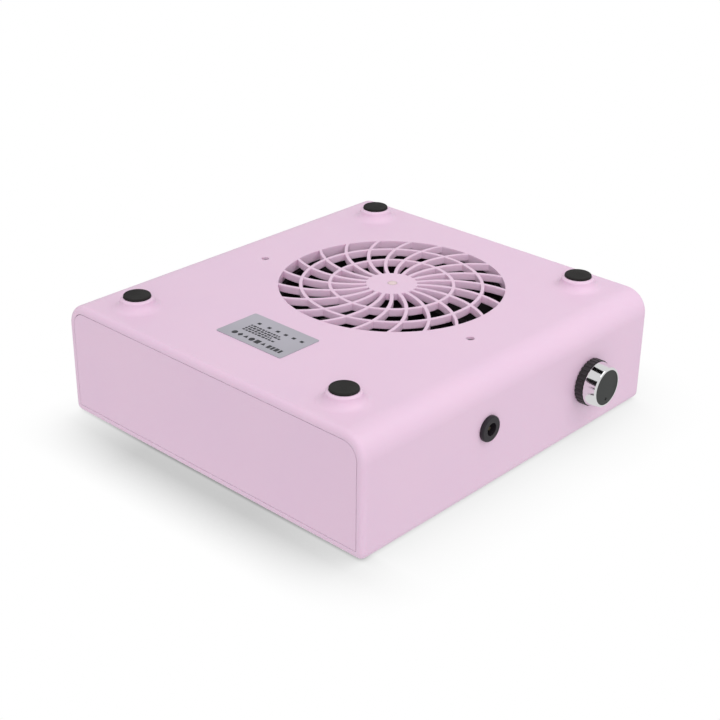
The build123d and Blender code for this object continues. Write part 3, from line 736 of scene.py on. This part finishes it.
@dataclass
class RatingPlate(SubAssembly):
    """The foil plate with rows of plain printed shapes in place of words and marks.

    Rows run along Y. Their places are distances from the plate's left edge, and places along a
    row are distances from its front edge. A shape's size is along the row, then across it.

    Attributes:
        print_height: Thickness of the printed shapes.
        heading_line: Place of the heading's spaced marks.
        heading_spots: Where they are along the row.
        heading_size: Their size.
        text_line: Place of the first row of small bars.
        text_gap: Distance between rows of small bars.
        text_rows: How many rows.
        text_ends: Shortest and longest reach of a row.
        text_height: The small bars' height.
        text_lengths: Shortest and longest small bar.
        row_start: Where the rows and signs start.
        sign_line: Place of the row of signs.
        sign_pitch: Distance between signs.
        sign_size: Their size.
        tail_start: Where the bars after the signs start.
        tail_end: Where they end at the latest.
        tail_height: Their height.
        tail_lengths: Shortest and longest of them.
        gap_share: Gap between bars as a share of their height.
        gap_limit: The widest gap.
    """

    print_height: float = 0.00004
    heading_line: float = 0.0195
    heading_spots: tuple[float, ...] = (0.0105, 0.0175, 0.0235, 0.0290, 0.0345, 0.0400)
    heading_size: Flat = (0.0020, 0.0018)
    text_line: float = 0.0158
    text_gap: float = 0.0019
    text_rows: int = 4
    text_ends: tuple[float, float] = (0.0270, 0.0325)
    text_height: float = 0.0012
    text_lengths: tuple[float, float] = (0.0008, 0.0024)
    row_start: float = 0.0085
    sign_line: float = 0.0048
    sign_pitch: float = 0.0040
    sign_size: Flat = (0.0031, 0.0034)
    tail_start: float = 0.0315
    tail_end: float = 0.0430
    tail_height: float = 0.0031
    tail_lengths: tuple[float, float] = (0.0014, 0.0022)
    gap_share: float = 0.55
    gap_limit: float = 0.0007

    def __post_init__(self) -> None:
        """Start with nothing printed."""
        self.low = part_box("rating_plate")[0]
        self.points: list[Point] = []
        self.faces: list[Face] = []

    def stamp(self, mark: Mark, along: float, across: float, length: float, height: float) -> None:
        """Print one shape.

        Args:
            mark: Which shape.
            along: The place of its middle along the row.
            across: The row's place.
            length: Its size along the row.
            height: Its size across the row.
        """
        if mark is Mark.BAR:
            outline = [(x * height / 2, y * length / 2) for x, y in SQUARE]
        else:
            outline = polygon(MARK_SIDES[mark], height, length)
        start = len(self.points)
        for level in (self.low.z - self.print_height, self.low.z):
            self.points.extend((self.low.x + across + x, self.low.y + along + y, level)
                               for x, y in outline)
        self.faces.extend(tuple(start + i for i in face) for face in prism_faces(len(outline)))

    def bars(self, across: float, begin: float, end: float, height: float,
             lengths: tuple[float, float], rng: random.Random) -> None:
        """Print a row of bars of changing length, as words are set.

        Args:
            across: The row's place.
            begin: Where the row begins.
            end: Where it ends at the latest.
            height: The bars' height.
            lengths: Shortest and longest bar.
            rng: Source of the lengths.
        """
        gap = min(height * self.gap_share, self.gap_limit)
        along = begin
        length = rng.uniform(*lengths)
        while along + length <= end:
            self.stamp(Mark.BAR, along + length / 2, across, length, height)
            along += length + gap
            length = rng.uniform(*lengths)

    def build(self) -> None:
        """Dress the plate and print its shapes."""
        self.dress({"rating_plate": Finishes.FOIL})
        rng = random.Random(SEED)
        for along in self.heading_spots:
            self.stamp(Mark.BAR, along, self.heading_line, *self.heading_size)
        for row in range(self.text_rows):
            reach = rng.uniform(*self.text_ends)
            self.bars(self.text_line - row * self.text_gap, self.row_start, reach,
                      self.text_height, self.text_lengths, rng)
        signs = (Mark.DISC, Mark.DIAMOND, Mark.TRIANGLE, Mark.DISC, Mark.BAR, Mark.TRIANGLE)
        for place, sign in enumerate(signs):
            along = self.row_start + place * self.sign_pitch
            self.stamp(sign, along, self.sign_line, *self.sign_size)
        self.bars(self.sign_line, self.tail_start, self.tail_end, self.tail_height,
                  self.tail_lengths, rng)
        self.add("plate_print", mesh_from("plate_print", self.points, self.faces), Body.BOX,
                 "plate_foil", Finishes.PRINT)


@dataclass
class FilterCassette(SubAssembly):
    """The lift-out filter: frame, perforated guard, pleated paper and foam gasket.

    Attributes:
        pitch: Distance between pleats.
        tip: How far a pleat's tip is rounded.
        tip_steps: Steps in each half of a rounded tip.
        sheet: Thickness of the paper.
        bead: Radius of the glue beads that space the pleats.
        bead_sides: Sides of a bead's round outline.
        bead_count: How many beads cross the paper.
    """

    pitch: float = 0.004
    tip: float = 0.0005
    tip_steps: int = 4
    sheet: float = 0.0004
    bead: float = 0.0006
    bead_sides: int = 10
    bead_count: int = 5

    def __post_init__(self) -> None:
        """Measure the paper's place and count its pleats."""
        self.low, self.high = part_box("filter_media")
        self.pleat_count = int((self.high.x - self.low.x) / self.pitch)

    def pleat_line(self, start: float, bottom: float, top: float) -> list[Flat]:
        """Draw the middle line of one pleat, from one valley to the next.

        Args:
            start: Where the first valley is along X.
            bottom: The valleys' level.
            top: The ridge's level.

        Returns:
            The line's points in X and Z.
        """
        # Each bend's middle, level and way it opens, and which of its halves the pleat has
        bends = (
            (start, bottom, 1, 0, 1),
            (start + self.pitch / 2, top, -1, -1, 1),
            (start + self.pitch, bottom, 1, -1, 0),
        )
        line = []
        for middle, level, sign, first, last in bends:
            for step in range(first * self.tip_steps, last * self.tip_steps + 1):
                share = step / self.tip_steps
                line.append((middle + share * self.tip,
                             level + sign * self.tip * share * share))
        return line

    def pleats(self) -> None:
        """Build the pleated paper."""
        low, high = self.low, self.high
        start = (low.x + high.x) / 2 - self.pleat_count * self.pitch / 2
        line = self.pleat_line(start, low.z + self.sheet / 2, high.z - self.sheet / 2)
        upper = [(x, z + self.sheet / 2) for x, z in line]
        lower = [(x, z - self.sheet / 2) for x, z in line]
        outline = upper + lower[::-1]
        size = len(outline)
        points = [(x, low.y, z) for x, z in outline] + [(x, high.y, z) for x, z in outline]
        faces: list[Face] = []
        for i in range(len(line) - 1):
            under = size - 1 - i
            for side in (0, size):
                faces.append((side + i, side + i + 1, side + under - 1, side + under))
            faces.append((i, i + 1, size + i + 1, size + i))
            faces.append((under - 1, under, size + under, size + under - 1))
        unit = mesh_from("pleat", points, faces)
        paper = row_of("pleated_paper", unit, self.pleat_count, (self.pitch, 0.0, 0.0),
                       Finishes.PAPER.build())
        self.add("pleated_paper", paper, Body.CASSETTE, "filter_paper",
                 replaces=("filter_media",))

    def beads(self) -> None:
        """Build the beads of glue laid across the pleats' tips."""
        low, high = self.low, self.high
        reach = self.pitch * self.pleat_count / 2
        gap = (high.y - low.y) / (self.bead_count + 1)
        ring = polygon(self.bead_sides, 2 * self.bead, 2 * self.bead)
        points = [(end, low.y + gap + y, high.z + z) for end in (-reach, reach) for y, z in ring]
        unit = mesh_from("bead", points, prism_faces(self.bead_sides))
        mesh = row_of("glue_beads", unit, self.bead_count, (0.0, gap, 0.0),
                      Finishes.GLUE.build())
        self.add("glue_beads", mesh, Body.CASSETTE, "filter_paper")

    def build(self) -> None:
        """Dress the cassette and build its paper."""
        self.dress({
            "filter_frame": Finishes.FRAME,
            "filter_guard": Finishes.GUARD,
            "filter_gasket": Finishes.FOAM,
            "filter_media": Finishes.PAPER,
        })
        self.pleats()
        self.beads()


@dataclass
class FanUnit(SubAssembly):
    """The fan in its frame, with its motor, screws and lead."""

    def build(self) -> None:
        """Dress the fan."""
        self.dress({
            "fan_housing": Finishes.FAN,
            "fan_rotor": Finishes.ROTOR,
            "fan_bearings": Finishes.STEEL,
            "fan_shaft": Finishes.STEEL,
            "fan_circuit": Finishes.BOARD,
            "fan_stator": Finishes.IRON,
            "fan_coils": Finishes.COPPER,
            "fan_magnet": Finishes.MAGNET,
            "fan_screws": Finishes.SCREW,
            "fan_lead": Finishes.LEAD,
        })


@dataclass
class SpeedControl(SubAssembly):
    """The speed knob and the control that it turns."""

    def build(self) -> None:
        """Dress the knob and its control."""
        self.dress({
            "speed_control": Finishes.CONTROL,
            "speed_control_washer": Finishes.SCREW,
            "speed_control_nut": Finishes.SCREW,
            "speed_control_shaft": Finishes.CONTROL,
            "knob_skirt": Finishes.KNOB,
            "knob_ring": Finishes.CHROME,
            "knob_face": Finishes.FACE,
        })


@dataclass
class Electrics(SubAssembly):
    """The power socket, the control board and their lead."""

    def build(self) -> None:
        """Dress the socket and the board."""
        self.dress({
            "jack_body": Finishes.SOCKET,
            "jack_nut": Finishes.SOCKET,
            "jack_pin": Finishes.BRASS,
            "jack_terminals": Finishes.BRASS,
            "jack_lead": Finishes.LEAD,
            "control_board": Finishes.BOARD,
            "board_connectors": Finishes.CONNECTOR,
            "board_transistor": Finishes.COMPONENT,
            "board_capacitor": Finishes.COMPONENT,
        })


# ---------------------------------------------------------------------------------------------
# Camera, lights and floors
# ---------------------------------------------------------------------------------------------


class LampKind(Enum):
    """The kinds of lamp, by Blender's own words."""

    SUN = "SUN"
    AREA = "AREA"


@dataclass(frozen=True)
class Lamp:
    """One lamp.

    Attributes:
        name: Its name.
        kind: Whether it is a sun or an area lamp.
        direction: The way its light travels.
        energy: Its strength.
        spread: A sun's angle in radians, or an area lamp's side.
        place: Where an area lamp hangs.
    """

    name: str
    kind: LampKind
    direction: Point
    energy: float
    spread: float
    place: Point = (0.0, 0.0, 0.0)

    def hang(self) -> None:
        """Put the lamp on the stage. Bright surfaces mirror only area lamps."""
        data = bpy.data.lights.new(self.name, self.kind.value)
        data.energy = self.energy
        if self.kind is LampKind.SUN:
            data.angle = self.spread
        else:
            data.size = self.spread
        made = bpy.data.objects.new(self.name, data)
        made.location = self.place
        made.rotation_mode = "QUATERNION"
        made.rotation_quaternion = Vector(self.direction).to_track_quat("-Z", "Y")
        made.visible_glossy = self.kind is LampKind.AREA
        bpy.context.scene.collection.objects.link(made)


@dataclass
class Studio:
    """The camera, the lights and two one-sided floors.

    One floor lies under the standing machine and shows only from above. The other lies against
    its top and shows only from below, where the machine is seen lying upside down.

    Attributes:
        camera_place: Where the camera is.
        camera_right: The picture's right in the shared frame.
        camera_up: The picture's up.
        lens: Focal length in millimetres.
        sensor: Width of the camera's sensor in millimetres.
        clip: Nearest and furthest distance that the camera sees.
        floor_reach: Half the width of each floor.
        floor_gap: Distance between the machine and each floor.
        room_strength: Brightness of the white room, as the machine sees it.
        shade_reach: How far the machine's shade reaches on the floors.
        shade_feet: Strength of the shade on the floor under the feet.
        shade_left: Strength of the shade on the other floor, on the machine's left.
        shade_right: The same on its right.
        shade_back: Share of the shade that stays beside the machine's back.
        left_fade: Where along X the left shade turns into the right one.
        front_fade: Where along Y the shade grows from none to full.
        back_fade: Where along Y it falls to its share at the back.
        shade_samples: Rays that measure the shade at each point.
        card_distance: How far the dark cards hang from the knob.
        card_colour: Their colour.
        card_list: Each card's direction from the knob, width and height.
        lamps: The lamps apart from the one that shines from the camera.
        fill_energy: Strength of the lamp that shines from the camera.
        fill_spread: Its angle in radians.
    """

    camera_place: Point = (-0.50172, 0.45748, -0.29743)
    camera_right: Point = (0.68273, 0.73060, -0.01028)
    camera_up: Point = (0.32025, -0.31185, -0.89453)
    lens: float = 72.45
    sensor: float = 36.0
    clip: tuple[float, float] = (0.01, 50.0)
    floor_reach: float = 4.0
    floor_gap: float = 0.0004
    room_strength: float = 0.76
    shade_reach: float = 0.043
    shade_feet: float = 0.5
    shade_left: float = 1.15
    shade_right: float = 0.32
    shade_back: float = 0.5
    left_fade: tuple[float, float] = (-0.118, -0.100)
    front_fade: tuple[float, float] = (-0.125, -0.05)
    back_fade: tuple[float, float] = (0.03, 0.115)
    shade_samples: int = 16
    card_distance: float = 0.9
    card_colour: Colour = (0.004, 0.004, 0.004)
    card_list: tuple[tuple[Point, float, float], ...] = (
        ((-0.84, -0.10, -0.45), 0.34, 0.42),
        ((0.10, -0.20, -0.95), 0.30, 0.60),
        ((-0.80, -0.25, 0.30), 0.22, 0.50),
    )
    lamps: tuple[Lamp, ...] = (
        Lamp("underside_key", LampKind.SUN, (0.0, 0.0, 1.0), 0.30, math.radians(40.0)),
        Lamp("front_corner_key", LampKind.SUN, (-0.45, 0.40, -0.80), 0.85, math.radians(30.0)),
        Lamp("back_corner_key", LampKind.AREA, (-0.10, -0.34, 0.45), 0.65, 0.35,
             (0.12, 0.40, -0.44)),
    )
    fill_energy: float = 0.92
    fill_spread: float = math.radians(25.0)

    def camera(self) -> None:
        """Place the camera."""
        lens = bpy.data.cameras.new("camera")
        lens.sensor_width = self.sensor
        lens.lens = self.lens
        lens.clip_start, lens.clip_end = self.clip
        made = bpy.data.objects.new("camera", lens)
        bpy.context.scene.collection.objects.link(made)
        right = Vector(self.camera_right).normalized()
        up = Vector(self.camera_up)
        up = (up - right * up.dot(right)).normalized()
        back = right.cross(up)
        turn = Matrix((right, up, back)).transposed().to_4x4()
        made.matrix_world = Matrix.Translation(Vector(self.camera_place)) @ turn
        bpy.context.scene.camera = made

    def floor_material(self, name: str, left: float, right: float) -> bpy.types.Material:
        """Make a white surface that darkens beside the machine and shows only from its front.

        Args:
            name: The material's name.
            left: Strength of the shade on the machine's left.
            right: The same on its right.

        Returns:
            The material.
        """
        sheet = ShaderSheet(name)
        near = sheet.add("ShaderNodeAmbientOcclusion", {"Distance": self.shade_reach},
                         samples=self.shade_samples)
        place = sheet.add("ShaderNodeSeparateXYZ", {"Vector": sheet.place()})
        across = sheet.between(place.outputs["X"], left, right, *self.left_fade)
        front = sheet.between(place.outputs["Y"], 0.0, 1.0, *self.front_fade)
        back = sheet.between(place.outputs["Y"], 1.0, self.shade_back, *self.back_fade)
        power = sheet.times(across, sheet.times(front, back))
        shade = sheet.add("ShaderNodeMath", {0: near.outputs["AO"], 1: power}, operation="POWER")
        glow = sheet.add("ShaderNodeEmission", {"Strength": shade.outputs["Value"]})
        glow.inputs["Color"].default_value = WHITE
        clear = sheet.add("ShaderNodeBsdfTransparent")
        face = sheet.add("ShaderNodeNewGeometry")
        both = sheet.add("ShaderNodeMixShader", {
            0: face.outputs["Backfacing"], 1: glow.outputs["Emission"], 2: clear.outputs["BSDF"],
        })
        return sheet.finish(both.outputs["Shader"])

    def unseen(self, thing: bpy.types.Object, glossy: bool = False) -> None:
        """Keep a stage object out of the machine's light.

        Args:
            thing: The object.
            glossy: True if the machine's bright surfaces may mirror it.
        """
        thing.visible_shadow = False
        thing.visible_diffuse = False
        thing.visible_transmission = False
        thing.visible_glossy = glossy

    def floors(self, top: float) -> None:
        """Lay the two floors.

        Args:
            top: The level of the machine's top.
        """
        corners = [(x * self.floor_reach, y * self.floor_reach) for x, y in SQUARE]
        # An order of -1 turns the face over
        for name, level, order, left, right in (
            ("floor_under_feet", -self.floor_gap, 1, self.shade_feet, self.shade_feet),
            ("floor_under_top", top + self.floor_gap, -1, self.shade_left, self.shade_right),
        ):
            mesh = bpy.data.meshes.new(name)
            mesh.from_pydata([(x, y, level) for x, y in corners][::order], [], [(0, 1, 2, 3)])
            mesh.materials.append(self.floor_material(f"{name}_white", left, right))
            self.unseen(mesh_object(name, mesh))

    def cards(self) -> None:
        """Hang the dark cards that only the bright ring mirrors."""
        sheet = ShaderSheet("card_black")
        dark = sheet.add("ShaderNodeBsdfDiffuse", {"Color": (*self.card_colour, 1.0)})
        black = sheet.finish(dark.outputs["BSDF"])
        knob = sum(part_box("knob_ring"), Vector()) / 2
        for index, (direction, width, height) in enumerate(self.card_list):
            aim = Vector(direction).normalized()
            turn = aim.to_track_quat("Z", "Y").to_matrix()
            spot = knob + aim * self.card_distance
            corners = [spot + turn @ Vector((x * width / 2, y * height / 2, 0.0))
                       for x, y in SQUARE]
            mesh = bpy.data.meshes.new(f"card_{index}")
            mesh.from_pydata([tuple(corner) for corner in corners], [], [(0, 1, 2, 3)])
            mesh.materials.append(black)
            card = mesh_object(f"card_{index}", mesh)
            card.visible_camera = False
            self.unseen(card, glossy=True)

    def lights(self) -> None:
        """Light the machine from a white room, from the camera and from the other lamps.

        Seen straight by the camera, the room is pure white.
        """
        world = bpy.data.worlds.new("white_room")
        world.use_nodes = True
        tree = world.node_tree
        sky = tree.nodes["Background"]
        sky.inputs["Color"].default_value = WHITE
        ray = add_node(tree, "ShaderNodeLightPath")
        strength = add_node(tree, "ShaderNodeMapRange", {
            "Value": ray.outputs["Is Camera Ray"], "To Min": self.room_strength, "To Max": 1.0,
        })
        tree.links.new(strength.outputs["Result"], sky.inputs["Strength"])
        bpy.context.scene.world = world
        ahead = Vector(self.camera_up).cross(Vector(self.camera_right)).normalized()
        fill = Lamp("camera_fill", LampKind.SUN, tuple(ahead), self.fill_energy,
                    self.fill_spread)
        for lamp in (fill, *self.lamps):
            lamp.hang()

    def build(self, top: float) -> None:
        """Set up the whole studio.

        Args:
            top: The level of the machine's top.
        """
        self.camera()
        self.floors(top)
        self.cards()
        self.lights()
        view = bpy.context.scene.view_settings
        view.view_transform = "Standard"
        view.look = "None"


def main() -> None:
    """Build every sub-assembly in order, then the studio."""
    logging.basicConfig(level=logging.INFO, format="%(name)s: %(message)s")
    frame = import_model()
    for part in (Casing, RatingPlate, FilterCassette, FanUnit, SpeedControl, Electrics):
        part(frame).build()
    Studio().build(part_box("casing")[1].z)


if __name__ == "__main__":
    main()
